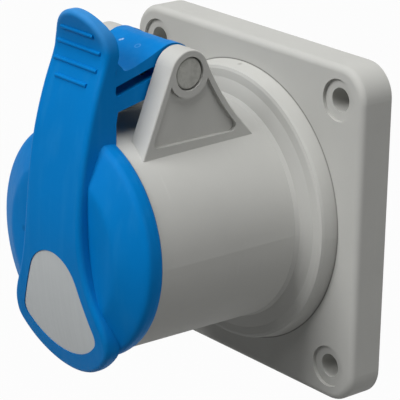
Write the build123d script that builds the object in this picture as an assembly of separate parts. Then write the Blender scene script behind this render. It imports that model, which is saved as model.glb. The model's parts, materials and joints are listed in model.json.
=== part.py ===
from build123d import *
import os
from math import acos, atan2, cos, degrees, pi, radians, sin, sqrt, tan

os.makedirs("parts", exist_ok=True)

# Frame: X to the right seen from the front, +Z up, the wall lies behind at +Y.
# The origin is the centre of the flange's back face, on the socket's axis.
# Depth is measured from the panel towards the user, so a depth of 10 is Y = -10.

# Flange
flange_side = 75.0
flange_thickness = 8.2
flange_corner_r = 7.0
flange_edge_r = 1.5
flange_wall = 2.6
flange_front_wall = 3.2
mount_spacing = 60.0
mount_hole_d = 5.2
mount_seat_d = 9.2
mount_seat_depth = 0.8
mount_boss_d = 10.4

# Panel gasket, in a groove of the flange's back
panel_gasket_r = 32.2
panel_gasket_width = 2.2
panel_gasket_height = 1.8
gasket_land_outer_r = 35.4

# Ring at the foot of the barrel
ring_foot_r = 31.5
ring_top_r = 30.9
ring_height = 3.9
ring_edge_r = 0.9
ring_inner_r = 28.3
ring_bevel_height = 1.9

# Barrel, which is the plug collar
barrel_root_r = 25.0
barrel_rim_r = 24.45
rim_depth = 49.8
plug_bore_r = 22.3
plug_bore_inner_r = 22.0
plug_bore_length = 7.4
mouth_bevel = 0.8
bore_floor_depth = 13.0
web_thickness = 5.0
rear_bore_r = 23.6
core_outer_r = 28.9
core_wall = 2.2
core_depth = 9.6
core_rib_count = 8
core_rib_width = 1.4
keyway_width = 8.6
keyway_depth = 1.15
keyway_length = 22.0

# Hinge ears
ear_inner_x = 8.9
ear_thickness = 5.3
ear_edge_r = 0.35
hinge_depth = 35.0
hinge_height = 36.6
ear_top_r = 5.0
ear_front_foot_depth = 46.9
ear_rear_foot_depth = 16.8
ear_foot_height = 20.2
ear_rear_lean = 25.0
ear_pocket_depth = 1.1
ear_pocket_rim = 1.35
ear_pocket_boss_r = 5.1
ear_pocket_floor = 22.1
ear_pocket_corner_r = 1.2

# Hinge pin
pin_r = 2.3
pin_head_r = 3.3
pin_head_length = 2.0
pin_head_recess = 0.25
pin_head_gap = 0.3
pin_fit = 0.03
pin_running_fit = 0.05
pin_end_chamfer = 0.4

# Lid cap
lid_gap = 0.25
cap_r = 25.2
cap_rear_r = 24.7
cap_skirt_depth = 52.6
cap_bevel_outer_r = 23.85
cap_bevel_outer_depth = 54.4
cap_bevel_inner_r = 19.25
cap_bevel_inner_depth = 56.6
cap_crown_depth = 57.4
cap_crown_r = 10.2
cap_wall = 2.4
spigot_outer_r = 20.8
spigot_wall = 1.8
spigot_reach = 0.6
cap_rib_width = 1.5
cap_rib_height = 3.0

# Lid gasket
lid_gasket_outer_r = 24.05
lid_gasket_thickness = 2.1
lid_gasket_gap = 0.3
lid_gasket_fit = 0.03

# Raised spine on the lid, with the finger tab above and the chin below
spine_front_depth = 59.95
spine_front_r = 100.0
spine_crown_height = 3.0
spine_half_width = 9.6
spine_flare_top = 4.0
spine_flare_mid = (12.6, -8.2)
spine_flank_x = 16.0
spine_flank_top = -17.6
spine_edge_r = 1.1
chin_r = 19.0
chin_centre_height = -9.4
chin_corner_r = 4.5
chin_rear_depth = 52.8
chin_relief = 1.3
tab_half_width = 8.9
tab_tip_height = 50.3
tab_front_top = 34.0
tab_hollow_depth = 52.5
tab_hollow_height = 42.5
tab_tip_front_depth = 55.0
tab_tip_thickness = 2.6
tab_bend_drop = 8.5
tab_rear_depth = 50.0
strap_foot_height = 23.0
ridge_width = 0.9
ridge_rise = 0.45
ridge_heights = (35.3, 38.5, 42.0, 45.3)
ridge_lengths = (10.4, 14.3, 14.3, 10.7)

# Hinge arm of the lid
arm_half_width = 8.6
arm_knuckle_r = 5.3
arm_top_height = 38.5
arm_bottom_height = 29.6
arm_root_depth = 49.1
arm_slot_height = 2.2
arm_slot_front_depth = 50.1
arm_slot_front_height = 34.05
arm_slot_lean = 16.0
arm_slot_start = 4.2
arm_slot_play = 0.2
coil_room_half_width = 5.6
coil_room_r = 4.0
strap_wall = 2.4

# Lid spring
wire_d = 1.0
coil_r = 3.0
coil_turns = 4
coil_pitch = 1.8
rear_leg_depth = 20.5
spring_seat_gap = 0.1
leg_d = 1.12
leg_lap = 0.35
leg_tip_depth = 48.0

# Rating plate, let into the spine
plate_top_r = 8.6
plate_shoulder = (8.4, -6.9)
plate_corner = (12.9, -17.6)
plate_bottom = -24.0
plate_corner_r = 3.0
plate_recess = 0.7
plate_thickness = 0.5

# Contact carrier and its sleeves
carrier_r = 18.0
carrier_fit = 0.12
carrier_face_depth = 41.5
carrier_edge_r = 1.0
carrier_face_wall = 2.2
carrier_shell_wall = 2.2
carrier_flange_r = 22.2
carrier_flange_thickness = 4.0
carrier_seal_thickness = 1.0
carrier_seal_inner_r = 18.6
contact_circle_r = 9.0
sleeve_fit = 0.1
sleeve_clearance = 0.3
sleeve_front_depth = 39.0
sleeve_collar_length = 5.0
slot_length = 12.0
slot_width = 0.8
sleeve_spring_wire = 0.7
sleeve_spring_width = 2.4
sleeve_spring_set_back = 3.0
sleeve_spring_opening = 30.0
line_angle = 150.0
neutral_angle = 30.0
earth_angle = 270.0
line_pin_d = 5.0
earth_pin_d = 6.0
pin_play = 0.1
sleeve_wall = 1.35
pin_hole_play = 0.9
pin_hole_flare = 0.8
contact_bore_length = 24.0

# Terminals
terminal_side = 9.0
terminal_front_depth = 5.0
terminal_rear_depth = -4.4
wire_hole_d = 4.2
wire_hole_length = 8.6
terminal_screw_d = 3.9
terminal_screw_length = 4.6
terminal_screw_depth = -0.6
terminal_screw_slot = 0.8
screw_play = 0.15
guard_thickness = 0.7
guard_length = 6.4
guard_width = 2.6
guard_offset = 0.55

# Terminal cover and screws
cover_r = 17.0
cover_wall = 2.0
cover_rear_depth = -7.0
cover_front_depth = 2.6
cover_entry_d = 7.4
cover_access_d = 5.6
cover_post_r = 3.0
cover_post_gap = 0.3
screw_thread_r = 1.45
screw_head_r = 2.6
screw_head_height = 1.9
carrier_screw_x = 20.1
carrier_screw_length = 7.4
cover_screw_length = 12.0
screw_slot = 0.8


def front(depth):
    """Sketch plane parallel to the panel, seen from the front."""
    return Plane(origin=(0, -depth, 0), x_dir=(1, 0, 0), z_dir=(0, -1, 0))


def side(x=0.0):
    """Sketch plane seen from the side: local x is depth, local y is height."""
    return Plane(origin=(x, 0, 0), x_dir=(0, -1, 0), z_dir=(-1, 0, 0))


def turned_outline(edges):
    """Solid turned about the socket's axis from the edges of half its section."""
    plane = Plane(origin=(0, 0, 0), x_dir=(1, 0, 0), z_dir=(0, 0, -1))
    return revolve(plane * make_face(edges), axis=Axis.Y)


def turned(points):
    """Solid turned about the socket's axis from (radius, depth) points."""
    return turned_outline(Polyline(*points, close=True))


def rod(radius, low, high, x=0.0, z=0.0):
    """Cylinder along the socket's axis between two depths."""
    return extrude(front(low) * Pos(x, z) * Circle(radius), amount=high - low)


def tube(outer, inner, low, high, x=0.0, z=0.0):
    return rod(outer, low, high, x, z) - rod(inner, low, high, x, z)


def cross_rod(radius, left, right, depth, height):
    """Cylinder along X between two x values."""
    return extrude(side(right) * Pos(depth, height) * Circle(radius), amount=right - left)


def contact_place(angle):
    return contact_circle_r * cos(radians(angle)), contact_circle_r * sin(radians(angle))


def mount_places():
    half = mount_spacing / 2
    return [(x, z) for x in (-half, half) for z in (-half, half)]


# Ears

ear_outer_x = ear_inner_x + ear_thickness


def ear_outline():
    """Ear seen from the side: straight front edge, round top, hollow rear edge."""
    foot = (ear_front_foot_depth, ear_foot_height)
    centre = (hinge_depth, hinge_height)
    reach = sqrt((foot[0] - centre[0]) ** 2 + (foot[1] - centre[1]) ** 2)
    turn = atan2(foot[1] - centre[1], foot[0] - centre[0]) + acos(ear_top_r / reach)
    touch = (centre[0] + ear_top_r * cos(turn), centre[1] + ear_top_r * sin(turn))
    lean = radians(ear_rear_lean)
    back = (centre[0] - ear_top_r * cos(lean), centre[1] + ear_top_r * sin(lean))
    rear_foot = (ear_rear_foot_depth, ear_foot_height)
    top = (centre[0], centre[1] + ear_top_r)
    root = ear_foot_height - 2.5
    return make_face([
        Line(foot, touch),
        ThreePointArc(touch, top, back),
        TangentArc(back, rear_foot, tangent=(-sin(lean), -cos(lean))),
        Line(rear_foot, (rear_foot[0], root)),
        Line((rear_foot[0], root), (foot[0], root)),
        Line((foot[0], root), foot),
    ])


def ear_pocket():
    """Shallow pocket in the ear's outer face, round the boss of the pin."""
    inner = offset(ear_outline(), amount=-ear_pocket_rim, kind=Kind.INTERSECTION)
    reach = 2 * hinge_height
    window = Pos(hinge_depth, ear_pocket_floor + reach / 2) * Rectangle(2 * reach, reach)
    boss = Pos(hinge_depth, hinge_height) * Circle(ear_pocket_boss_r)
    above = Pos(hinge_depth, hinge_height + reach / 2) * Rectangle(2 * reach, reach)
    pocket = (inner & window) - boss - above
    low_corners = pocket.vertices().sort_by(Axis.Y)[:2]
    return fillet(low_corners, ear_pocket_corner_r)


def ear(sign):
    """One hinge ear, on the right for sign 1 and on the left for sign -1."""
    body = extrude(side(ear_outer_x) * ear_outline(), amount=ear_thickness)
    outer = body.faces().sort_by(Axis.X)[-1]
    body = fillet(outer.edges(), ear_edge_r)
    body -= extrude(side(ear_outer_x) * ear_pocket(), amount=ear_pocket_depth)
    bore = pin_r + pin_fit
    body -= cross_rod(bore, ear_inner_x - 1, ear_outer_x + 1, hinge_depth, hinge_height)
    if sign > 0:
        head_seat = ear_outer_x - pin_head_length - pin_head_recess
        recess_r = pin_head_r + pin_head_gap
        body -= cross_rod(recess_r, head_seat, ear_outer_x + 1, hinge_depth, hinge_height)
        return body
    return mirror(body, about=Plane.YZ)


# Housing

def flange():
    plate = extrude(front(0) * RectangleRounded(flange_side, flange_side, flange_corner_r),
                    amount=flange_thickness)
    plate = fillet(plate.faces().sort_by(Axis.Y)[0].edges(), flange_edge_r)
    inside = flange_side - 2 * flange_wall
    hollow = front(0) * RectangleRounded(inside, inside, flange_corner_r - flange_wall)
    hollow -= front(0) * Circle(gasket_land_outer_r)
    for x, z in mount_places():
        hollow -= front(0) * Pos(x, z) * Circle(mount_boss_d / 2)
    plate -= extrude(hollow, amount=flange_thickness - flange_front_wall)
    for x, z in mount_places():
        plate -= rod(mount_hole_d / 2, -1, flange_thickness + 1, x, z)
        seat = flange_thickness - mount_seat_depth
        plate -= rod(mount_seat_d / 2, seat, flange_thickness + 1, x, z)
    return plate


def barrel():
    """Foot ring and barrel, turned as one solid before the bores are cut."""
    ring_top = flange_thickness + ring_height
    lip = ring_edge_r
    profile = [
        (0, 0),
        (ring_foot_r, 0),
        (ring_foot_r, flange_thickness),
        (ring_top_r, ring_top - lip),
        (ring_top_r - 0.3 * lip, ring_top - 0.3 * lip),
        (ring_top_r - lip, ring_top),
        (ring_inner_r, ring_top + 0.2),
        (barrel_root_r + 0.5, ring_top + ring_bevel_height - 0.5),
        (barrel_root_r, ring_top + ring_bevel_height + 0.4),
        (barrel_rim_r, rim_depth),
        (0, rim_depth),
    ]
    return turned(profile)


def core_ribs():
    """Radial ribs that bridge the ring-shaped core at the back."""
    ribs = []
    for n in range(core_rib_count):
        angle = 360 * (n + 0.5) / core_rib_count
        reach = core_outer_r - rear_bore_r
        bar = Rot(0, 0, angle) * Pos(rear_bore_r + reach / 2, 0) * Rectangle(reach, core_rib_width)
        ribs.append(extrude(front(0) * bar, amount=core_depth))
    return ribs


def housing():
    body = flange() + barrel()
    for sign in (1, -1):
        body += ear(sign)
    floor = bore_floor_depth
    mouth = rim_depth - mouth_bevel
    body -= rod(plug_bore_r, mouth - plug_bore_length, rim_depth + 1)
    body -= rod(plug_bore_inner_r, floor, rim_depth)
    body -= turned([
        (0, mouth),
        (plug_bore_r, mouth),
        (plug_bore_r + mouth_bevel, rim_depth),
        (0, rim_depth),
    ])
    body -= rod(carrier_r + carrier_fit, -1, floor + 1)
    body -= rod(rear_bore_r, -1, floor - web_thickness)
    core = tube(core_outer_r, rear_bore_r + core_wall, -1, core_depth)
    for rib in core_ribs():
        core -= rib
    body -= core
    groove_outer = panel_gasket_r + panel_gasket_width / 2
    groove_inner = panel_gasket_r - panel_gasket_width / 2
    body -= tube(groove_outer, groove_inner, -1, panel_gasket_height)
    keyway = front(rim_depth - keyway_length) * Pos(0, -plug_bore_r) * Rectangle(
        keyway_width, 2 * keyway_depth)
    body -= extrude(keyway, amount=keyway_length + 1)
    pilot_end = floor - web_thickness + carrier_screw_length - carrier_flange_thickness + 0.6
    for sign in (1, -1):
        pilot_x = sign * carrier_screw_x
        body -= rod(screw_thread_r, floor - web_thickness - 1, pilot_end, pilot_x, 0)
    return body


def panel_gasket():
    outer = panel_gasket_r + panel_gasket_width / 2
    inner = panel_gasket_r - panel_gasket_width / 2
    return tube(outer, inner, 0, panel_gasket_height)


# Lid

lid_rear_depth = rim_depth + lid_gap
gasket_face_depth = rim_depth + lid_gasket_gap
gasket_seat_depth = gasket_face_depth + lid_gasket_thickness


def spine_arc_depth(height):
    """Depth of the spine's bowed front at a height."""
    drop = height - spine_crown_height
    return spine_front_depth - spine_front_r + sqrt(spine_front_r ** 2 - drop ** 2)


def cap():
    """Domed cap of the lid with its bevel, skirt and gasket seat."""
    skirt = (cap_r, cap_skirt_depth)
    shoulder = (cap_bevel_outer_r, cap_bevel_outer_depth)
    bevel = (cap_bevel_inner_r, cap_bevel_inner_depth)
    crown = (cap_crown_r, cap_crown_depth)
    rear = [(0, lid_rear_depth), (cap_rear_r, lid_rear_depth), (cap_rear_r + 0.25, lid_rear_depth + 0.35)]
    return turned_outline([
        Polyline((0, cap_crown_depth), *rear, (cap_r - 0.05, lid_rear_depth + 1.3), skirt),
        Spline([skirt, shoulder, bevel, crown], tangents=[(0, 1), (-1, 0)]),
        Line(crown, (0, cap_crown_depth)),
    ])


def tab_front():
    """Hollow front of the finger tab, seen from the side."""
    edge = (spine_arc_depth(tab_front_top), tab_front_top)
    hollow = (tab_hollow_depth, tab_hollow_height)
    tip = (tab_tip_front_depth, tab_tip_height + 1)
    fall = (tab_front_top - spine_crown_height) / spine_front_r
    return Spline([edge, hollow, tip], tangents=[(-fall, sqrt(1 - fall ** 2)), (0.3, 1)])


def tab_front_depth(height):
    """Depth of the tab's hollow front at a height, found by halving."""
    curve = tab_front()
    low, high = 0.0, 1.0
    while high - low > 0.0001:
        middle = (low + high) / 2
        if (curve @ middle).Y < height:
            low = middle
        else:
            high = middle
    return (curve @ low).X


def spine_side():
    """Side outline of the spine, tab and chin, cut to length by its front outline."""
    chin_low = chin_centre_height - chin_r - 1
    tip_high = tab_tip_height + 1
    low_edge = (spine_arc_depth(chin_low), chin_low)
    crown = (spine_front_depth, spine_crown_height)
    tab_edge = (spine_arc_depth(tab_front_top), tab_front_top)
    tip_front = (tab_tip_front_depth, tip_high)
    tip_rear = (tab_tip_front_depth - tab_tip_thickness, tip_high)
    rear_mid = (tab_rear_depth + 0.45, tab_tip_height - tab_bend_drop / 2)
    rear_bend = (tab_rear_depth, tab_tip_height - tab_bend_drop)
    return make_face([
        ThreePointArc(low_edge, crown, tab_edge),
        tab_front(),
        Line(tip_front, tip_rear),
        ThreePointArc(tip_rear, rear_mid, rear_bend),
        Line(rear_bend, (tab_rear_depth, strap_foot_height)),
        Line((tab_rear_depth, strap_foot_height), (chin_rear_depth, strap_foot_height - 2)),
        Line((chin_rear_depth, strap_foot_height - 2), (chin_rear_depth, chin_low)),
        Line((chin_rear_depth, chin_low), low_edge),
    ])


def spine_front_outline():
    """Front outline of the spine: tab, waist, flare and chin."""
    tip_centre = tab_tip_height - tab_half_width
    low = chin_centre_height - sqrt(chin_r ** 2 - spine_flank_x ** 2)
    tab_corner = (tab_half_width, tip_centre)
    waist = (spine_half_width, spine_flare_top)
    flank = (spine_flank_x, spine_flank_top)
    corner = (spine_flank_x, low)
    chin = (0, chin_centre_height - chin_r)
    middle = ((tab_half_width + spine_half_width) / 2, (tip_centre + spine_flare_top) / 2)
    right = [
        Spline([tab_corner, middle, waist, spine_flare_mid, flank], tangents=[(0, -1), (0, -1)]),
        Line(flank, corner),
    ]
    left = [mirror(edge, about=Plane.YZ) for edge in right]
    tip = ThreePointArc((-tab_half_width, tip_centre), (0, tab_tip_height), tab_corner)
    bottom = ThreePointArc((-spine_flank_x, low), chin, corner)
    face = make_face([tip] + right + [bottom] + left)
    low_corners = face.vertices().sort_by(Axis.Y)[:2]
    return fillet(low_corners, chin_corner_r)


def shared_edges(faces, others):
    """Edges that lie between one group of faces and another."""
    found = []
    for face in faces:
        for edge in face.edges():
            if any(edge.is_same(near) for other in others for near in other.edges()):
                found.append(edge)
    return found


def spine():
    """Spine, tab and chin with their front and rear edges rounded."""
    flat = extrude(side(0) * spine_side(), amount=25, both=True)
    outline = extrude(front(tab_rear_depth - 1) * spine_front_outline(), amount=14)
    body = flat & outline
    faces = [f for f in body.faces() if f.normal_at().Y < -0.5]
    flanks = [f for f in body.faces() if abs(f.normal_at().Y) < 0.3]
    body = fillet(shared_edges(faces, flanks), spine_edge_r)
    low_back = [f for f in body.faces() if f.normal_at().Y > 0.5 and f.center().Z < 0]
    below = [f for f in body.faces() if abs(f.normal_at().Y) < 0.3 and f.center().Z < spine_flank_top]
    return chamfer(shared_edges(low_back, below), chin_relief)


def arm():
    """Arm and knuckle that carry the lid on the pin."""
    root = (arm_root_depth, arm_bottom_height)
    inside = tab_rear_depth + strap_wall
    edge_low = (lid_rear_depth, cap_r + 0.2)
    edge_high = (arm_root_depth + 0.4, arm_bottom_height - 2.3)
    middle_depth = hinge_depth + arm_slot_start + 1.5
    bend = (middle_depth, arm_bottom_height + 1.8)
    crown = (hinge_depth, hinge_height + arm_knuckle_r)
    top_points = [
        (inside, arm_top_height + 5.0),
        (tab_rear_depth - 1.5, arm_top_height + 0.5),
        (tab_rear_depth - 2.9, arm_top_height - 0.3),
        (middle_depth, arm_top_height + 0.9),
        (hinge_depth + 3.5, arm_top_height + 2.4),
        crown,
    ]
    outline = make_face([
        Polyline((inside, arm_top_height + 5.0), (inside, cap_r + 0.2), edge_low, edge_high, root, bend,
                 (hinge_depth, hinge_height - 4), crown),
        Spline(top_points, tangents=[(-0.4, -1), (-1, 0)]),
    ])
    knuckle = Pos(hinge_depth, hinge_height) * Circle(arm_knuckle_r)
    return extrude(side(arm_half_width) * (outline + knuckle), amount=2 * arm_half_width)


def slot_ends():
    """Centres of the arm slot's two round ends, front end first."""
    radius = arm_slot_height / 2
    nose = (arm_slot_front_depth - radius, arm_slot_front_height)
    tail_depth = hinge_depth + arm_slot_start + radius
    tail = (tail_depth, slot_height(tail_depth))
    return nose, tail


def slot_height(depth):
    """Height of the slot's middle line at a depth."""
    run = arm_slot_front_depth - arm_slot_height / 2 - depth
    return arm_slot_front_height + run * tan(radians(arm_slot_lean))


def arm_slot():
    """Slot through the arm, where the spring's front leg lies."""
    nose, tail = slot_ends()
    length = sqrt((nose[0] - tail[0]) ** 2 + (nose[1] - tail[1]) ** 2)
    middle = ((nose[0] + tail[0]) / 2, (nose[1] + tail[1]) / 2)
    sketch = Pos(*middle) * Rot(0, 0, -arm_slot_lean) * SlotCenterToCenter(length, arm_slot_height)
    return extrude(side(2 * arm_half_width) * sketch, amount=4 * arm_half_width)


def coil_room():
    """Room for the coil in the knuckle, open behind for the spring's rear leg."""
    room = Pos(hinge_depth, hinge_height) * Circle(coil_room_r)
    knee = leg_knee()[0]
    half = arm_slot_height / 2
    room += make_face(Polyline(
        (hinge_depth, hinge_height - coil_room_r),
        (knee, slot_height(knee) - half - arm_slot_play),
        (knee, slot_height(knee) + half),
        (hinge_depth, hinge_height + coil_room_r),
        close=True))
    reach = 2 * arm_knuckle_r
    room += Pos(hinge_depth - 0.8 - reach / 2, hinge_height + reach / 2) * Rectangle(reach, reach)
    room += Pos(hinge_depth + 0.4 - reach / 2, hinge_height - reach / 2) * Rectangle(reach, reach)
    return extrude(side(coil_room_half_width) * room, amount=2 * coil_room_half_width)


def leg_knee():
    """Depth and height at which the spring's front leg meets the slot's floor."""
    depth = slot_ends()[1][0] + 0.5
    return depth, leg_height(depth)


def leg_height(depth):
    """Height of the front leg's middle where it lies on the slot's floor."""
    rise = leg_d / 2 / cos(radians(arm_slot_lean)) + spring_seat_gap
    return slot_height(depth) - arm_slot_height / 2 / cos(radians(arm_slot_lean)) + rise


def spine_band(low, high):
    """Layer under the spine's bowed front, between two depths below it."""
    centre = spine_front_depth - spine_front_r
    ring = Circle(spine_front_r - low) - Circle(spine_front_r - high)
    window = Pos(spine_front_r, 0) * Rectangle(spine_front_r, spine_front_r)
    band = Pos(centre, spine_crown_height) * (ring & window)
    return extrude(side(25) * band, amount=50)


def plate_outline(play=0.0):
    """Front outline of the plate; play makes it smaller all round."""
    crown = (0, chin_centre_height + plate_top_r)
    left_shoulder = (-plate_shoulder[0], plate_shoulder[1])
    left_corner = (-plate_corner[0], plate_corner[1])
    floor = (0, plate_bottom)
    face = make_face([
        ThreePointArc(left_shoulder, crown, plate_shoulder),
        Line(plate_shoulder, plate_corner),
        ThreePointArc(plate_corner, floor, left_corner),
        Line(left_corner, left_shoulder),
    ])
    low_corners = face.vertices().sort_by(Axis.Y)[:2]
    face = fillet(low_corners, plate_corner_r)
    return offset(face, amount=-play) if play else face


def ridges():
    bars = []
    for height, length in zip(ridge_heights, ridge_lengths):
        middle = tab_front_depth(height) + ridge_rise - ridge_width / 2
        bars.append(cross_rod(ridge_width / 2, -length / 2, length / 2, middle, height))
    return bars


def lid():
    body = cap() + spine() + arm()
    spigot_inner_r = spigot_outer_r - spigot_wall
    body -= tube(lid_gasket_outer_r + lid_gasket_fit, spigot_outer_r, lid_rear_depth - 3, gasket_seat_depth)
    body += tube(spigot_outer_r, spigot_inner_r, rim_depth - spigot_reach, gasket_seat_depth + 0.5)
    ceiling = cap_crown_depth - cap_wall
    body -= rod(spigot_inner_r, lid_rear_depth - 3, ceiling)
    reach = 2 * spigot_inner_r + 0.4
    for size in ((reach, cap_rib_width), (cap_rib_width, reach)):
        body += extrude(front(ceiling - cap_rib_height) * Rectangle(*size), amount=cap_rib_height + 0.5)
    body -= arm_slot()
    body -= coil_room()
    bore = pin_r + pin_running_fit
    body -= cross_rod(bore, -arm_half_width - 1, arm_half_width + 1, hinge_depth, hinge_height)
    for bar in ridges():
        body += bar
    recess = extrude(front(rim_depth) * plate_outline(), amount=20)
    body -= recess & spine_band(-1, plate_recess)
    return body


def lid_gasket():
    inner = spigot_outer_r + lid_gasket_fit
    return tube(lid_gasket_outer_r, inner, gasket_face_depth, gasket_seat_depth)


def rating_plate():
    blank = extrude(front(rim_depth) * plate_outline(0.05), amount=20)
    return blank & spine_band(plate_recess - plate_thickness, plate_recess)


def hinge_pin():
    tip = -ear_outer_x + 0.3
    end = ear_outer_x - pin_head_recess
    pin = cross_rod(pin_r, tip, end, hinge_depth, hinge_height)
    pin = chamfer(pin.faces().sort_by(Axis.X)[0].edges(), pin_end_chamfer)
    head = cross_rod(pin_head_r, end - pin_head_length, end, hinge_depth, hinge_height)
    return pin + chamfer(head.faces().sort_by(Axis.X)[-1].edges(), 0.25)


def tangent_touch(point, radius, sign):
    """Angle at which a line from a point touches a circle round the pin."""
    across = (point[0] - hinge_depth, point[1] - hinge_height)
    reach = sqrt(across[0] ** 2 + across[1] ** 2)
    return atan2(across[1], across[0]) + sign * acos(radius / reach)


def leg(*points):
    """Straight lengths of wire from the coil's end outwards, begun a little inside the coil."""
    first, second = points[0], points[1]
    begin = first - (second - first).normalized() * leg_lap
    path = Polyline(begin, *points[1:])
    profile = Plane(origin=begin, z_dir=second - first) * Circle(leg_d / 2)
    return sweep(profile, path=path, transition=Transition.RIGHT)


def lid_spring():
    """Torsion spring: a coil round the pin and two straight legs."""
    half_turns = coil_turns * coil_pitch / 2
    taper = (barrel_root_r - barrel_rim_r) * (rim_depth - rear_leg_depth) / (rim_depth - flange_thickness)
    rest = sqrt((barrel_rim_r + taper) ** 2 - half_turns ** 2) + leg_d / 2 + spring_seat_gap
    rear_end = (rear_leg_depth, rest)
    knee = leg_knee()
    tip = (leg_tip_depth, leg_height(leg_tip_depth))
    first = tangent_touch(rear_end, coil_r, 1)
    last = tangent_touch(knee, coil_r, -1)
    turn = 2 * pi * coil_turns + (last - first) % (2 * pi)
    middle = Vector(0, -hinge_depth, hinge_height)
    line = Helix(2 * pi * 2 * half_turns / turn, 2 * half_turns, coil_r,
                 center=(-half_turns, middle.Y, middle.Z), direction=(1, 0, 0), lefthand=True)
    begin = line @ 0
    offset_angle = first - atan2(begin.Z - hinge_height, -begin.Y - hinge_depth)
    line = line.rotate(Axis(middle, (1, 0, 0)), -degrees(offset_angle))
    body = sweep(Plane(origin=line @ 0, z_dir=line % 0) * Circle(wire_d / 2), path=line, is_frenet=True)
    body += leg(line @ 0, Vector(-half_turns, -rear_end[0], rear_end[1]))
    body += leg(line @ 1, Vector(half_turns, -knee[0], knee[1]), Vector(half_turns, -tip[0], tip[1]))
    return body


# Contact carrier

carrier_flange_front = bore_floor_depth - web_thickness - carrier_seal_thickness
carrier_flange_rear = carrier_flange_front - carrier_flange_thickness


def sleeve_outer_r(pin_d):
    return pin_d / 2 + pin_play + sleeve_wall


def contact_list():
    """Name, angle and pin diameter of the three contacts."""
    return [
        ("line", line_angle, line_pin_d),
        ("neutral", neutral_angle, line_pin_d),
        ("earth", earth_angle, earth_pin_d),
    ]


def pin_entry(pin_d, low):
    """Entry for a pin in the carrier's face, a little wider towards the front."""
    inner_r = (pin_d + pin_hole_play) / 2
    outer_r = inner_r + pin_hole_flare
    return turned([(0, low), (inner_r, low), (outer_r, carrier_face_depth), (0, carrier_face_depth)])


def contact_carrier():
    body = rod(carrier_r, carrier_flange_rear, carrier_face_depth)
    body = fillet(body.faces().sort_by(Axis.Y)[0].edges(), carrier_edge_r)
    body += rod(carrier_flange_r, carrier_flange_rear, carrier_flange_front)
    ceiling = carrier_face_depth - carrier_face_wall
    body -= rod(carrier_r - carrier_shell_wall, carrier_flange_rear - 1, terminal_front_depth)
    post_end = cover_rear_depth + cover_wall + cover_post_gap
    body += rod(cover_post_r, post_end, terminal_front_depth + 1)
    for _, angle, pin_d in contact_list():
        x, z = contact_place(angle)
        bore = sleeve_outer_r(pin_d) + sleeve_spring_wire + sleeve_clearance
        body -= rod(bore, terminal_front_depth - 1, ceiling, x, z)
        body -= Pos(x, 0, z) * pin_entry(pin_d, ceiling - 1)
    body -= rod(screw_thread_r, post_end - 1, cover_rear_depth + cover_screw_length + 0.6)
    for sign in (1, -1):
        hole = screw_thread_r + screw_play
        body -= rod(hole, carrier_flange_rear - 1, carrier_flange_front + 1, sign * carrier_screw_x, 0)
    return body


def carrier_seal():
    front_face = carrier_flange_front + carrier_seal_thickness
    body = tube(carrier_flange_r, carrier_seal_inner_r, carrier_flange_front, front_face)
    for sign in (1, -1):
        hole = screw_thread_r + screw_play
        body -= rod(hole, carrier_flange_front - 1, front_face + 1, sign * carrier_screw_x, 0)
    return body


def slotted_screw(under_head, length, x=0.0, z=0.0):
    """Screw driven from behind, its head at the lower depth."""
    body = rod(screw_thread_r, under_head, under_head + length, x, z)
    head = rod(screw_head_r, under_head - screw_head_height, under_head, x, z)
    body += fillet(head.faces().sort_by(Axis.Y)[-1].edges(), 0.7)
    groove = front(under_head - screw_head_height - 1) * Pos(x, z) * Rectangle(7, screw_slot)
    return body - extrude(groove, amount=1.9)


def carrier_screws():
    places = (carrier_screw_x, -carrier_screw_x)
    return Compound([slotted_screw(carrier_flange_rear, carrier_screw_length, x) for x in places])


def terminal_block(angle):
    """Sketch of the square terminal, one side facing outwards."""
    x, z = contact_place(angle)
    return Pos(x, z) * Rot(0, 0, angle) * Rectangle(terminal_side, terminal_side)


def radial_rod(angle, radius, low, high, depth):
    """Cylinder that points away from the socket's axis."""
    a = radians(angle)
    plane = Plane(origin=(low * cos(a), -depth, low * sin(a)), z_dir=(cos(a), 0, sin(a)))
    return extrude(plane * Circle(radius), amount=high - low)


def sleeve(angle, pin_d):
    """Contact sleeve with its slit mouth, collar and terminal in one piece."""
    x, z = contact_place(angle)
    outer = sleeve_outer_r(pin_d)
    collar = outer + sleeve_spring_wire + sleeve_clearance - sleeve_fit
    body = rod(outer, terminal_front_depth, sleeve_front_depth, x, z)
    body += rod(collar, terminal_front_depth, terminal_front_depth + sleeve_collar_length, x, z)
    length = terminal_front_depth - terminal_rear_depth
    body += extrude(front(terminal_rear_depth) * terminal_block(angle), amount=length)
    bore_end = sleeve_front_depth - contact_bore_length
    body -= rod(pin_d / 2 + pin_play, bore_end, sleeve_front_depth + 1, x, z)
    slit = Pos(x, z) * Rot(0, 0, angle) * Rectangle(4 * outer, slot_width)
    body -= extrude(front(sleeve_front_depth - slot_length) * slit, amount=slot_length + 1)
    body -= rod(wire_hole_d / 2, terminal_rear_depth - 1, terminal_rear_depth + wire_hole_length, x, z)
    outside = contact_circle_r + terminal_side / 2 + 1
    body -= radial_rod(angle, terminal_screw_d / 2, contact_circle_r, outside, terminal_screw_depth)
    return body


def sleeve_spring(angle, pin_d):
    """Spring ring that keeps the slit mouth tight."""
    x, z = contact_place(angle)
    outer = sleeve_outer_r(pin_d)
    high = sleeve_front_depth - sleeve_spring_set_back
    ring = tube(outer + sleeve_spring_wire, outer, high - sleeve_spring_width, high, x, z)
    width = 2 * (outer + sleeve_spring_wire) * sin(radians(sleeve_spring_opening / 2))
    gap = Pos(x, z) * Rot(0, 0, angle + 90) * Pos(outer, 0) * Rectangle(2 * outer, width)
    return ring - extrude(front(high - sleeve_spring_width - 1) * gap, amount=sleeve_spring_width + 2)


def guard_reach():
    return contact_circle_r + guard_offset + guard_thickness


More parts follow.
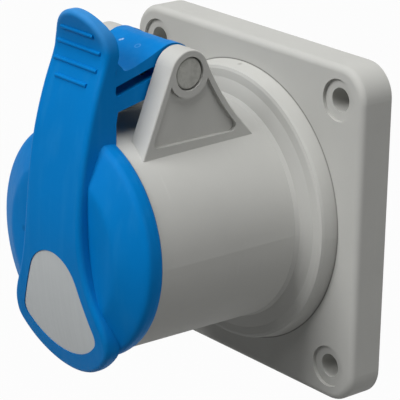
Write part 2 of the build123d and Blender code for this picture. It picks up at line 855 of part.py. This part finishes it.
def wire_guard(angle):
    """Plate between a terminal screw and its wire."""
    middle = contact_circle_r + guard_offset + guard_thickness / 2
    sketch = Rot(0, 0, angle) * Pos(middle, 0) * Rectangle(guard_thickness, guard_width)
    return extrude(front(terminal_screw_depth - guard_length / 2) * sketch, amount=guard_length)


def terminal_screws():
    screws = []
    for _, angle, _ in contact_list():
        end = guard_reach() + terminal_screw_length
        screw = radial_rod(angle, terminal_screw_d / 2, guard_reach(), end, terminal_screw_depth)
        a = radians(angle)
        where = Plane(origin=(end * cos(a), -terminal_screw_depth, end * sin(a)), z_dir=(cos(a), 0, sin(a)))
        screw -= extrude(where * Rectangle(9, terminal_screw_slot), amount=1.2, both=True)
        screws.append(screw)
    return Compound(screws)


def terminal_cover():
    inside = cover_rear_depth + cover_wall
    body = rod(cover_r, cover_rear_depth, cover_front_depth)
    body = fillet(body.faces().sort_by(Axis.Y)[-1].edges(), 0.8)
    body -= rod(cover_r - cover_wall, inside, cover_front_depth + 1)
    for _, angle, _ in contact_list():
        x, z = contact_place(angle)
        body -= rod(cover_entry_d / 2, cover_rear_depth - 1, inside + 1, x, z)
        low = cover_r - cover_wall - 1.5
        body -= radial_rod(angle, cover_access_d / 2, low, cover_r + 1, terminal_screw_depth)
    body -= rod(screw_thread_r + screw_play, cover_rear_depth - 1, inside + 1)
    return body


def cover_screw():
    return slotted_screw(cover_rear_depth, cover_screw_length)


pieces = {
    "housing": housing(),
    "panel_gasket": panel_gasket(),
    "lid": lid(),
    "lid_gasket": lid_gasket(),
    "rating_plate": rating_plate(),
    "hinge_pin": hinge_pin(),
    "lid_spring": lid_spring(),
    "contact_carrier": contact_carrier(),
    "carrier_seal": carrier_seal(),
    "carrier_screws": carrier_screws(),
    "terminal_screws": terminal_screws(),
    "terminal_cover": terminal_cover(),
    "cover_screw": cover_screw(),
}
for name, angle, pin_d in contact_list():
    pieces[name + "_sleeve"] = sleeve(angle, pin_d)
    pieces[name + "_sleeve_spring"] = sleeve_spring(angle, pin_d)
    pieces[name + "_wire_guard"] = wire_guard(angle)

for name, piece in pieces.items():
    export_step(piece, "parts/" + name + ".step")
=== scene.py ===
import json
from math import acos, atan2, cos, pi, radians, sin, sqrt

import bpy
from mathutils import Matrix, Vector


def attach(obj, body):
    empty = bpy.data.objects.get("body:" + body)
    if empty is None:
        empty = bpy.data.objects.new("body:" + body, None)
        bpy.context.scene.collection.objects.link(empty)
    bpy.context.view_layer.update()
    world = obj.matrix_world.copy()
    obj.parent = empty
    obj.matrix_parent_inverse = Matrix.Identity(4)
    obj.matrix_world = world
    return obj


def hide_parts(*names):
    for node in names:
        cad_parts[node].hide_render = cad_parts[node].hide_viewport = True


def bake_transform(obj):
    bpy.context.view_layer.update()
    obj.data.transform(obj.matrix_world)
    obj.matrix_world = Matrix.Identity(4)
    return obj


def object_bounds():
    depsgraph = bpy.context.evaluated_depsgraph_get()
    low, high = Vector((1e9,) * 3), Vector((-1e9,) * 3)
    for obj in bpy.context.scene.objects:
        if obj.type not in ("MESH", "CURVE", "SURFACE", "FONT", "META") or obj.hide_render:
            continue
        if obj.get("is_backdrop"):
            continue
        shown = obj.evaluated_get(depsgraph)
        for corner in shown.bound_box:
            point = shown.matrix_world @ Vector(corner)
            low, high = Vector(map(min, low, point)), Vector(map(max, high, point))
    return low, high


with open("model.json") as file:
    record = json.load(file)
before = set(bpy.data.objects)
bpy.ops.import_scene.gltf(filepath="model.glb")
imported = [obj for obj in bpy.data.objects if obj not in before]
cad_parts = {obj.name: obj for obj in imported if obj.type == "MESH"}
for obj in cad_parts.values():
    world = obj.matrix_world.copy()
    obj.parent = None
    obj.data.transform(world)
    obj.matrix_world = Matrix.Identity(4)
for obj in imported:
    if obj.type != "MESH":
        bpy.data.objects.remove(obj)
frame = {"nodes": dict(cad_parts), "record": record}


def box_now():
    """The object's box as plain lists of numbers."""
    return json.loads(json.dumps(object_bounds(), default=list))


cad_box = box_now()
scene = bpy.context.scene
scene.view_settings.view_transform = "Standard"
MM = 0.001


def mm(*values):
    """Millimetres as a tuple in metres."""
    return tuple(value * MM for value in values)


def new_object(name, data):
    """Object of the data, in the scene."""
    made = bpy.data.objects.new(name, data)
    scene.collection.objects.link(made)
    return made


# Camera, at the photograph's angle: degrees, then metres from the origin along its own axes

VIEW_AZIMUTH = 50.044
VIEW_ELEVATION = 19.495
VIEW_ROLL = 1.07
VIEW_RIGHT = -0.015229
VIEW_UP = -0.001997
VIEW_BACK = 0.48525
LENS = 195.0
SENSOR_WIDTH = 36


def place_camera():
    azimuth, elevation, roll = radians(VIEW_AZIMUTH), radians(VIEW_ELEVATION), radians(VIEW_ROLL)
    back = Vector((sin(azimuth) * cos(elevation), -cos(azimuth) * cos(elevation), sin(elevation)))
    level = Vector((cos(azimuth), sin(azimuth), 0))
    upright = back.cross(level)
    right = level * cos(roll) + upright * sin(roll)
    up = upright * cos(roll) - level * sin(roll)
    spot = right * VIEW_RIGHT + up * VIEW_UP + back * VIEW_BACK
    data = bpy.data.cameras.new("camera")
    data.sensor_width = SENSOR_WIDTH
    data.lens = LENS
    data.clip_start = 0.01
    data.clip_end = 50
    camera = new_object("camera", data)
    turn = Matrix((right, up, back)).transposed().to_4x4()
    camera.matrix_world = Matrix.Translation(spot) @ turn
    scene.camera = camera


place_camera()


# Node helpers

class Nodes:
    """Short calls for building a material's nodes."""

    def __init__(self, tree):
        self.tree = tree
        tree.nodes.clear()

    def add(self, kind, **inputs):
        """Node of a kind, with its inputs named by keywords."""
        node = self.tree.nodes.new(kind)
        for name, value in inputs.items():
            self.put(node.inputs[name.replace("_", " ")], value)
        return node

    def put(self, socket, value):
        """Link an output to a socket, or set the socket's own value."""
        if hasattr(value, "is_output"):
            self.tree.links.new(value, socket)
        else:
            socket.default_value = value

    def math(self, operation, a, b=0.5):
        node = self.tree.nodes.new("ShaderNodeMath")
        node.operation = operation
        self.put(node.inputs[0], a)
        self.put(node.inputs[1], b)
        return node.outputs[0]

    def times(self, product, *factors):
        """All the values multiplied."""
        for factor in factors:
            product = self.math("MULTIPLY", product, factor)
        return product

    def ramp(self, value, low, high, to_low=0.0, to_high=1.0):
        """A value's stretch from low to high, mapped to another and held at its ends."""
        node = self.tree.nodes.new("ShaderNodeMapRange")
        node.clamp = True
        for name, number in (("Value", value), ("From Min", low), ("From Max", high),
                             ("To Min", to_low), ("To Max", to_high)):
            self.put(node.inputs[name], number)
        return node.outputs["Result"]

    def mix(self, factor, a, b):
        """Colour a at factor 0 and colour b at factor 1."""
        node = self.tree.nodes.new("ShaderNodeMix")
        node.data_type = "RGBA"
        for socket, value in ((node.inputs[0], factor), (node.inputs[6], a), (node.inputs[7], b)):
            self.put(socket, value)
        return node.outputs[2]

    def noise(self, scale, vector, detail=2.0, roughness=0.5):
        node = self.add("ShaderNodeTexNoise", Vector=vector, Scale=scale, Detail=detail,
                        Roughness=roughness)
        return node.outputs["Fac"]

    def stretched(self, vector, scale):
        """The same place with each direction stretched by its own number."""
        return self.add("ShaderNodeMapping", Vector=vector, Scale=scale).outputs[0]

    def place(self):
        """Place on the piece, in metres, which rides with the piece."""
        return self.tree.nodes.new("ShaderNodeTexCoord").outputs["Object"]

    def parts(self, vector):
        return self.add("ShaderNodeSeparateXYZ", Vector=vector).outputs

    def distance(self, vector, point):
        """Distance in metres from a fixed point."""
        node = self.tree.nodes.new("ShaderNodeVectorMath")
        node.operation = "DISTANCE"
        self.put(node.inputs[0], vector)
        self.put(node.inputs[1], point)
        return node.outputs["Value"]

    def near(self, value, target, width):
        """1 where a value is at its target, falling to 0 a width away."""
        away = self.math("ABSOLUTE", self.math("SUBTRACT", value, target))
        return self.ramp(away, 0.0, width, 1.0, 0.0)

    def bump(self, height, strength, distance):
        node = self.add("ShaderNodeBump", Height=height, Strength=strength, Distance=distance)
        return node.outputs[0]

    def mix_shaders(self, factor, a, b):
        """Shader a at factor 0 and shader b at factor 1."""
        node = self.tree.nodes.new("ShaderNodeMixShader")
        self.put(node.inputs[0], factor)
        self.put(node.inputs[1], a.outputs[0])
        self.put(node.inputs[2], b.outputs[0])
        return node

    def surface(self, shader, kind="ShaderNodeOutputMaterial"):
        out = self.tree.nodes.new(kind)
        self.tree.links.new(shader.outputs[0], out.inputs["Surface"])


def new_material(name):
    material = bpy.data.materials.new(name)
    material.use_nodes = True
    return material, Nodes(material.node_tree)


def rgb(*values):
    """Linear colour from sRGB numbers out of 255."""
    linear = []
    for value in values:
        v = value / 255
        linear.append(v / 12.92 if v <= 0.04045 else ((v + 0.055) / 1.055) ** 2.4)
    return (*linear, 1.0)


def scaled(colour, share):
    """A colour made lighter or darker."""
    return tuple(min(1.0, c * share) for c in colour[:3]) + (1.0,)


def specks(n, place, scale, size, share):
    """Sparse small soft dots: 1 in a dot's middle and 0 between dots."""
    cell = n.add("ShaderNodeTexVoronoi", Vector=place, Scale=scale)
    dot = n.ramp(cell.outputs["Distance"], size * 0.4, size, 1.0, 0.0)
    shade = n.add("ShaderNodeSeparateColor", Color=cell.outputs["Color"])
    return n.times(dot, n.math("LESS_THAN", shade.outputs[0], share))


def scratches(n, place, scale, share):
    """Fine short scratches along one direction: 1 on a scratch."""
    lines = n.noise(1.0, n.stretched(place, scale), 1.0)
    patches = n.ramp(n.noise(90, place, 1.0), 0.5, 0.7)
    return n.times(n.ramp(lines, 1 - share, 1.0 - share * 0.6), patches)


# Plastics

def plastic(name, colour, roughness, specular, mottling, marks=None, grain=0.04):
    """Injection-moulded plastic: clouding, fine grain, and the wear and painted light that
    marks() adds.
    """
    material, n = new_material(name)
    place = n.place()
    cloud = n.noise(55, place, 3, 0.55)
    fine = n.noise(650, place, 3, 0.6)
    darker, lighter = scaled(colour, 1 - mottling), scaled(colour, 1 + mottling)
    tint = n.mix(n.ramp(cloud, 0.3, 0.7), darker, lighter)
    tint = n.mix(n.ramp(fine, 0.35, 0.65, 0.0, 0.5 * mottling), tint, scaled(colour, 0.6))
    if marks:
        tint = marks(n, place, tint)
    shine = n.math("ADD", n.ramp(cloud, 0.25, 0.75, -0.05, 0.05),
                   n.ramp(fine, 0.3, 0.7, roughness - 0.04, roughness + 0.04))
    height = n.math("ADD", n.noise(2400, place, 3, 0.6), n.times(n.noise(160, place, 2), 0.6))
    n.surface(n.add("ShaderNodeBsdfPrincipled", Base_Color=tint, Roughness=shine,
                    Specular_IOR_Level=specular, Normal=n.bump(height, grain, 0.0001)))
    return material


# Places of single marks, of painted shade and of a painted highlight, in millimetres

# Painted shade: a thin dark line at this radius and depth, in the crease where the ring meets the
# flange.
RING_CREASE_SHADE_RADIUS = 31.6
RING_CREASE_SHADE_Y = -8.2
TAB_ARCH_HEIGHT = 41.4
# Where the painted highlight lies on the tab's rim.
TAB_RIM_RADII = (7.0, 8.6)
TAB_RIM_HEIGHTS = (42, 48.5)
TAB_RIM_REAR_Y = -49.5
GATE_MARK = (2.38, -39.34, 40.6)
GATE_RADIUS = 0.6
GATE_LINE = 0.22
NICK_SPOTS = ((-3.5, -39.35, 40.63), (-3.15, -39.0, 40.8))
NICK_EDGE = (0.15, 0.42)
ARM_MARKS_BOTTOM = 38
ARM_MARKS_FRONT_Y = -47


def grey_marks_and_crease_shade(n, place, tint):
    """Faint specks, light scuffs, and painted shade as a dark line round the ring at the barrel's
    foot.
    """
    tint = n.mix(n.times(specks(n, place, 170, 0.13, 0.05), 0.4), tint, rgb(92, 90, 84))
    scuffs = scratches(n, place, (60, 900, 60), 0.36)
    tint = n.mix(n.times(scuffs, 0.12), tint, rgb(225, 225, 220))
    x, y, z = n.parts(place)
    radius = n.math("SQRT", n.math("ADD", n.times(x, x), n.times(z, z)))
    # Painted shade in the crease round the ring's foot, darkening the colour there.
    ring_crease_shade = n.times(n.near(radius, RING_CREASE_SHADE_RADIUS * MM, 0.22 * MM),
                    n.near(y, RING_CREASE_SHADE_Y * MM, 0.3 * MM))
    return n.mix(n.times(ring_crease_shade, 0.7), tint, rgb(52, 50, 46))


def painted_rim_highlight(n, place):
    """1 on the rim round the tab's upper edge, where a highlight is painted."""
    x, y, z = n.parts(place)
    rise = n.math("MAXIMUM", n.math("SUBTRACT", z, TAB_ARCH_HEIGHT * MM), 0.0)
    square = n.math("ADD", n.times(x, x), n.times(rise, rise))
    inner, outer = mm(*TAB_RIM_RADII)
    return n.times(n.ramp(square, inner ** 2, outer ** 2),
                   n.math("LESS_THAN", y, TAB_RIM_REAR_Y * MM),
                   n.ramp(z, *mm(*TAB_RIM_HEIGHTS)),
                   n.ramp(n.noise(260, place, 3), 0.35, 0.65, 0.6, 1.0))


def blue_marks_and_rim_highlight(n, place, tint):
    """Faint dirt, rub marks, a painted highlight on the tab's rim, and on the arm's top a gate
    mark and a nick.
    """
    tint = n.mix(n.times(specks(n, place, 150, 0.14, 0.05), 0.3), tint, rgb(0, 62, 112))
    rub = n.ramp(n.noise(1.0, n.stretched(place, (420, 420, 30)), 3), 0.5, 0.8)
    tint = n.mix(n.times(rub, 0.1), tint, rgb(70, 160, 215))
    # Painted highlight: the tab's upper rim lightened as if by a soft lamp's sheen.
    tint = n.mix(n.times(painted_rim_highlight(n, place), 0.2), tint, rgb(150, 205, 238))
    _, y, z = n.parts(place)
    on_arm = n.times(n.math("GREATER_THAN", z, ARM_MARKS_BOTTOM * MM),
                     n.math("GREATER_THAN", y, ARM_MARKS_FRONT_Y * MM))
    gate = n.near(n.distance(place, mm(*GATE_MARK)), GATE_RADIUS * MM, GATE_LINE * MM)
    spots = [n.ramp(n.distance(place, mm(*spot)), *mm(*NICK_EDGE), 1.0, 0.0)
             for spot in NICK_SPOTS]
    nick = n.math("MAXIMUM", *spots)
    tint = n.mix(n.times(gate, on_arm, 0.22), tint, rgb(150, 200, 240))
    return n.mix(n.times(nick, on_arm, 0.55), tint, rgb(200, 225, 245))


def pin_marks(n, place, tint):
    """Rough, scratched end of the pin's head."""
    worn = n.ramp(n.noise(700, place, 4, 0.65), 0.42, 0.62)
    tint = n.mix(n.times(worn, 0.3), tint, rgb(120, 120, 114))
    scored = scratches(n, place, (60, 1500, 500), 0.45)
    return n.mix(n.times(scored, 0.35), tint, rgb(214, 214, 208))


def plate_marks(n, place, tint):
    """Foil plate: fine brushed lines and slight wear."""
    lines = n.noise(1.0, n.stretched(place, (1800, 60, 60)), 2)
    tint = n.mix(n.ramp(lines, 0.35, 0.65, 0.0, 0.06), tint, rgb(128, 132, 134))
    return n.mix(n.times(specks(n, place, 260, 0.12, 0.05), 0.4), tint, rgb(110, 112, 112))


# Metals and rubber

BRUSHED = (40, 900, 40)


def metal(name, colour, roughness):
    """Drawn or brushed metal with fine lines along one direction."""
    material, n = new_material(name)
    place = n.place()
    lines = n.noise(1.0, n.stretched(place, BRUSHED), 4, 0.6)
    tint = n.mix(n.ramp(n.noise(120, place, 3), 0.3, 0.7), scaled(colour, 0.82), colour)
    n.surface(n.add("ShaderNodeBsdfPrincipled", Base_Color=tint, Metallic=1.0,
                    Roughness=n.ramp(lines, 0.3, 0.7, roughness - 0.07, roughness + 0.07),
                    Normal=n.bump(lines, 0.15, 0.00005)))
    return material


def rubber(name, colour):
    """Dull rubber with a soft, uneven skin."""
    material, n = new_material(name)
    place = n.place()
    cloud = n.noise(150, place, 3)
    tint = n.mix(n.ramp(cloud, 0.3, 0.7), scaled(colour, 0.8), colour)
    n.surface(n.add("ShaderNodeBsdfPrincipled", Base_Color=tint,
                    Roughness=n.ramp(cloud, 0.3, 0.7, 0.62, 0.78),
                    Normal=n.bump(n.noise(1500, place, 3, 0.6), 0.2, 0.0001)))
    return material


pin_grey = plastic("pin_grey", rgb(182, 182, 176), roughness=0.6, specular=0.12,
                   mottling=0.05, marks=pin_marks, grain=0.1)
steel = metal("bright_steel", rgb(190, 192, 196), roughness=0.28)
by_slot = {
    "housing_grey": plastic("grey_plastic", rgb(187, 187, 183), roughness=0.62, specular=0.06,
                            mottling=0.025, marks=grey_marks_and_crease_shade),
    "lid_blue": plastic("blue_plastic", rgb(1, 117, 190), roughness=0.5, specular=0.05,
                        mottling=0.04, marks=blue_marks_and_rim_highlight),
    "plate_grey": plastic("plate_foil", rgb(194, 198, 199), roughness=0.5, specular=0.12,
                          mottling=0.02, marks=plate_marks),
    "carrier_black": plastic("black_plastic", rgb(38, 38, 42), roughness=0.5, specular=0.35,
                             mottling=0.08),
    "cover_grey": plastic("cover_plastic", rgb(150, 152, 150), roughness=0.5, specular=0.35,
                          mottling=0.04),
    "gasket_black": rubber("gasket_rubber", rgb(34, 34, 35)),
    "contact_brass": metal("drawn_brass", rgb(205, 165, 92), roughness=0.3),
    "steel": steel,
}
for entry in frame["record"]["subparts"]:
    mesh = frame["nodes"][entry["node"]].data
    mesh.materials.clear()
    finish = pin_grey if entry["node"] == "hinge_pin" else by_slot[entry["material_slot"]]
    mesh.materials.append(finish)


# Lid moulding, in millimetres: depths are in front of the panel, heights above the axis

# The arm's top runs straight from the knuckle to a tight corner at the tab.
ARM_TOP = ((36.0, 41.88), (36.5, 41.83), (37.3, 41.55), (38.4, 41.05), (40.0, 40.35),
           (42.0, 39.5), (44.4, 38.6), (45.9, 38.14), (46.6, 38.0), (47.1, 38.0),
           (47.6, 38.16), (48.0, 38.42), (48.5, 39.0), (49.3, 39.6))
ARM_HALF_WIDTH = 8.6
ARM_TOP_REAR = 36.5
ARM_TOP_FRONT = 48.45
ARM_TOP_LOWEST = 37.5
# A corner's normal with a larger upward part than this belongs to the arm's top.
FACES_UP = 0.5
# The (depth, height) corners of the arm's root, and their (x, depth, height) inside the tab.
ROOT_CORNERS = (((52.4, 43.5), (8.42, 52.31, 42.3)), ((52.227, 43.097), (8.5, 52.16, 42.6)))
ROOT_NORMAL = (0.62, -0.77, 0.12)
SAME_POINT = 0.02
# The tab's back stands nearer to the hinge just above the arm, and its tip is a little lower.
TAB_BACK_SHIFT = 0.85
TAB_BACK_DEPTH = 48.4
TAB_FOOT_HEIGHT = 38.6
TAB_FOOT_RISE = 2.4
TAB_FADE_HEIGHT = 49.5
TAB_FADE_RISE = 5.0
TAB_FRONT_DEPTH = 52.3
TAB_BACK_REACH = 1.8
TAB_TIP_FROM = 45.5
TAB_TIP_SQUEEZE = 0.09


def arm_top(depth):
    """Height and slope of the arm's top at a depth, by a smooth curve through its points."""
    last = len(ARM_TOP) - 2
    i = max(k for k in range(1, last) if k == 1 or ARM_TOP[k][0] <= depth)
    (d0, h0), (d1, h1), (d2, h2), (d3, h3) = ARM_TOP[i - 1:i + 3]
    run = d2 - d1
    t = (depth - d1) / run
    m1, m2 = (h2 - h0) / (d2 - d0), (h3 - h1) / (d3 - d1)
    height = (2 * t ** 3 - 3 * t ** 2 + 1) * h1 + (t ** 3 - 2 * t ** 2 + t) * run * m1
    height += (3 * t ** 2 - 2 * t ** 3) * h2 + (t ** 3 - t ** 2) * run * m2
    slope = (6 * t ** 2 - 6 * t) * (h1 - h2) / run
    slope += (3 * t ** 2 - 4 * t + 1) * m1 + (3 * t ** 2 - 2 * t) * m2
    return height, slope


def clamped(value):
    """A value held between 0 and 1."""
    return min(1, max(0, value))


def millimetre_key(vertex):
    """The vertex's place, the same for all vertices that share a point."""
    return tuple(round(c / MM, 2) for c in vertex.co)


def reshape_arm_top(mesh, normals):
    """Put the arm's top, and the edges of the faces beside it, on the curve of ARM_TOP."""
    corners_of = {}
    for corner, loop in enumerate(mesh.loops):
        corners_of.setdefault(loop.vertex_index, []).append(corner)
    new_heights = {}
    for vertex in mesh.vertices:
        x, depth, height = vertex.co.x / MM, -vertex.co.y / MM, vertex.co.z / MM
        along = ARM_TOP_REAR < depth < ARM_TOP_FRONT and height > ARM_TOP_LOWEST
        corners = corners_of.get(vertex.index, ())
        up = any(normals[corner].z > FACES_UP for corner in corners)
        if along and up and abs(x) < ARM_HALF_WIDTH + 0.01:
            new_height, slope = arm_top(depth)
            new_heights[millimetre_key(vertex)] = new_height
            for corner in corners:
                normals[corner] = Vector((0, slope, 1)).normalized()
    for vertex in mesh.vertices:
        key = millimetre_key(vertex)
        if key in new_heights:
            vertex.co.z = new_heights[key] * MM


def draw_in_root(mesh, normals):
    """Draw the corners of the arm's root back behind the tab's rounded edge."""
    moved = set()
    for vertex in mesh.vertices:
        side = 1 if vertex.co.x > 0 else -1
        for (depth, height), (x, new_depth, new_height) in ROOT_CORNERS:
            corner = Vector((side * ARM_HALF_WIDTH, -depth, height))
            if (vertex.co / MM - corner).length < SAME_POINT:
                vertex.co = Vector((side * x, -new_depth, new_height)) * MM
                moved.add(vertex.index)
    for polygon in mesh.polygons:
        if moved & set(polygon.vertices):
            side = 1 if polygon.center.x > 0 else -1
            across, forward, upward = ROOT_NORMAL
            for corner in polygon.loop_indices:
                normals[corner] = Vector((side * across, forward, upward)).normalized()


def thicken_tab(mesh):
    """Move the tab's back towards the hinge above the arm, and lower its tip."""
    for vertex in mesh.vertices:
        depth, height = -vertex.co.y / MM, vertex.co.z / MM
        if depth > TAB_BACK_DEPTH and height > TAB_FOOT_HEIGHT:
            rise = clamped((height - TAB_FOOT_HEIGHT) / TAB_FOOT_RISE)
            rise *= clamped((TAB_FADE_HEIGHT - height) / TAB_FADE_RISE)
            rear = clamped((TAB_FRONT_DEPTH - depth) / TAB_BACK_REACH)
            vertex.co.y += TAB_BACK_SHIFT * rise * rear * MM
            vertex.co.z -= TAB_TIP_SQUEEZE * max(0, height - TAB_TIP_FROM) * MM


def lid_moulding():
    """The lid with its arm's top, the arm's root and the tab reshaped after the photograph."""
    mesh = frame["nodes"]["lid"].data.copy()
    mesh.name = "lid_moulding"
    normals = [corner.vector.copy() for corner in mesh.corner_normals]
    reshape_arm_top(mesh, normals)
    draw_in_root(mesh, normals)
    thicken_tab(mesh)
    mesh.normals_split_custom_set(normals)
    piece = new_object("lid_moulding", mesh)
    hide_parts("lid")
    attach(piece, "lid_unit")


lid_moulding()


# Lid spring, in millimetres: one smooth wire

HINGE = Vector((0, -35.0, 36.6))
COIL_RADIUS = 3.0
COIL_HALF = 3.6
COIL_TURNS = 4
COIL_STEPS = 36
WIRE_RADIUS = 0.5
WIRE_SIDES = 14
LEG_STEPS = 8
# Ends of the legs, as (depth, height)
REAR_END = (20.5, 25.2)
KNEE = (40.8, 35.85)
TIP = (48.0, 33.8)


def touch_angle(point, sign):
    """Angle at which a line from a (depth, height) point touches the coil."""
    depth, height = point[0] + HINGE.y, point[1] - HINGE.z
    return atan2(height, depth) + sign * acos(COIL_RADIUS / sqrt(depth ** 2 + height ** 2))


def straight(start, end):
    """Points along a straight leg, ends included."""
    return [start.lerp(end, i / LEG_STEPS) for i in range(LEG_STEPS + 1)]


def spring_path():
    """Points along the wire: the rear leg, the coil and the bent front leg."""
    first, last = touch_angle(REAR_END, 1), touch_angle(KNEE, -1)
    turn = 2 * pi * COIL_TURNS + (last - first) % (2 * pi)
    steps = COIL_STEPS * COIL_TURNS
    coil = []
    for i in range(steps + 1):
        angle = first + turn * i / steps
        x = -COIL_HALF + 2 * COIL_HALF * i / steps
        coil.append(HINGE + Vector((x, -COIL_RADIUS * cos(angle), COIL_RADIUS * sin(angle))))
    rear = Vector((-COIL_HALF, -REAR_END[0], REAR_END[1]))
    knee = Vector((COIL_HALF, -KNEE[0], KNEE[1]))
    tip = Vector((COIL_HALF, -TIP[0], TIP[1]))
    front_leg = straight(coil[-1], knee) + straight(knee, tip)[1:]
    return straight(rear, coil[0]) + coil[1:-1] + front_leg


def rounded_ends(points, radius):
    """Centres and radii of the wire's rings, with both ends drawn in to a dome."""
    centres, radii = [points[0]], [0.0]
    first = (points[1] - points[0]).normalized()
    last = (points[-1] - points[-2]).normalized()
    for angle in (30, 60, 90):
        centres.append(points[0] + first * radius * (1 - cos(radians(angle))))
        radii.append(radius * sin(radians(angle)))
    centres += points[1:-1]
    radii += [radius] * (len(points) - 2)
    for angle in (90, 60, 30, 0):
        centres.append(points[-1] - last * radius * (1 - cos(radians(angle))))
        radii.append(radius * sin(radians(angle)))
    return centres, radii


def wire(name, points, radius):
    """Mesh tube along points, with rounded ends."""
    centres, radii = rounded_ends(points, radius)
    across = (points[1] - points[0]).normalized().orthogonal().normalized()
    vertices, faces = [], []
    for i, centre in enumerate(centres):
        ahead = centres[min(i + 1, len(centres) - 1)] - centres[max(i - 1, 0)]
        ahead = ahead.normalized()
        across = (across - ahead * across.dot(ahead)).normalized()
        other = ahead.cross(across)
        reach = max(radii[i], 0.01 * radius)
        for s in range(WIRE_SIDES):
            a = 2 * pi * s / WIRE_SIDES
            vertices.append((centre + (across * cos(a) + other * sin(a)) * reach) * MM)
    for i in range(len(centres) - 1):
        ring, ahead_ring = i * WIRE_SIDES, (i + 1) * WIRE_SIDES
        for s in range(WIRE_SIDES):
            t = (s + 1) % WIRE_SIDES
            faces.append((ring + s, ring + t, ahead_ring + t, ahead_ring + s))
    faces.append(tuple(range(WIRE_SIDES))[::-1])
    faces.append(tuple(range((len(centres) - 1) * WIRE_SIDES, len(centres) * WIRE_SIDES)))
    mesh = bpy.data.meshes.new(name)
    mesh.from_pydata(vertices, [], faces)
    for polygon in mesh.polygons:
        polygon.use_smooth = True
    return new_object(name, mesh)


def lid_spring():
    piece = wire("lid_spring_wire", spring_path(), WIRE_RADIUS)
    piece.data.materials.append(steel)
    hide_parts("lid_spring")
    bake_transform(piece)


lid_spring()


# Studio, in metres and watts

LAMP_SIZE = 0.7
LAMP_DISTANCE = 1.6
LAMP_TARGET = Vector((0, -0.03, 0))
AMBIENT = 0.01
FLOOR_HALF = 6.0
FLOOR_HEIGHT = -0.16
FLOOR_GLOW = 0.97


def lamp(name, azimuth, elevation, power):
    """Square soft lamp aimed at the object; azimuth 0 is in front, 90 on the right."""
    data = bpy.data.lights.new(name, "AREA")
    data.shape = "SQUARE"
    data.size = LAMP_SIZE
    data.energy = power
    light = new_object(name, data)
    a, e = radians(azimuth), radians(elevation)
    away = Vector((sin(a) * cos(e), -cos(a) * cos(e), sin(e))) * LAMP_DISTANCE
    light.location = LAMP_TARGET + away
    light.rotation_euler = (-away).to_track_quat("-Z", "Y").to_euler()


def background_rays(n):
    """1 for the rays that see the white background, 0 for those that light the object."""
    path = n.tree.nodes.new("ShaderNodeLightPath").outputs
    seen = n.math("MAXIMUM", path["Is Camera Ray"], path["Is Transmission Ray"])
    return n.math("MAXIMUM", seen, path["Is Glossy Ray"])


def studio():
    lamp("key", -10, 40, 18.9)
    lamp("upper_right", 60, 68, 9.9)
    lamp("top", 0, 88, 7.1)
    lamp("side", 100, 12, 4.5)
    lamp("rear", 185, 8, 11)
    world = bpy.data.worlds.new("world")
    scene.world = world
    world.use_nodes = True
    n = Nodes(world.node_tree)
    ambient = n.add("ShaderNodeBackground", Color=(0.95, 0.97, 1.0, 1), Strength=AMBIENT)
    white = n.add("ShaderNodeBackground", Color=(1, 1, 1, 1), Strength=1.0)
    n.surface(n.mix_shaders(background_rays(n), ambient, white), "ShaderNodeOutputWorld")


def floor():
    mesh = bpy.data.meshes.new("floor")
    corners = [(x * FLOOR_HALF, y * FLOOR_HALF, FLOOR_HEIGHT)
               for x, y in ((-1, -1), (1, -1), (1, 1), (-1, 1))]
    mesh.from_pydata(corners, [], [(0, 1, 2, 3)])
    obj = new_object("floor", mesh)
    material, n = new_material("floor_white")
    tint = n.mix(n.noise(8, n.place(), 3), (0.2, 0.2, 0.2, 1), (0.22, 0.22, 0.22, 1))
    paint = n.add("ShaderNodeBsdfDiffuse", Color=tint)
    glow = n.add("ShaderNodeEmission", Color=(1, 1, 1, 1), Strength=1.0)
    n.surface(n.mix_shaders(n.times(background_rays(n), FLOOR_GLOW), paint, glow))
    obj.data.materials.append(material)
    obj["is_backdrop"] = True


studio()
floor()

{"cad": cad_box, "visual": box_now()}
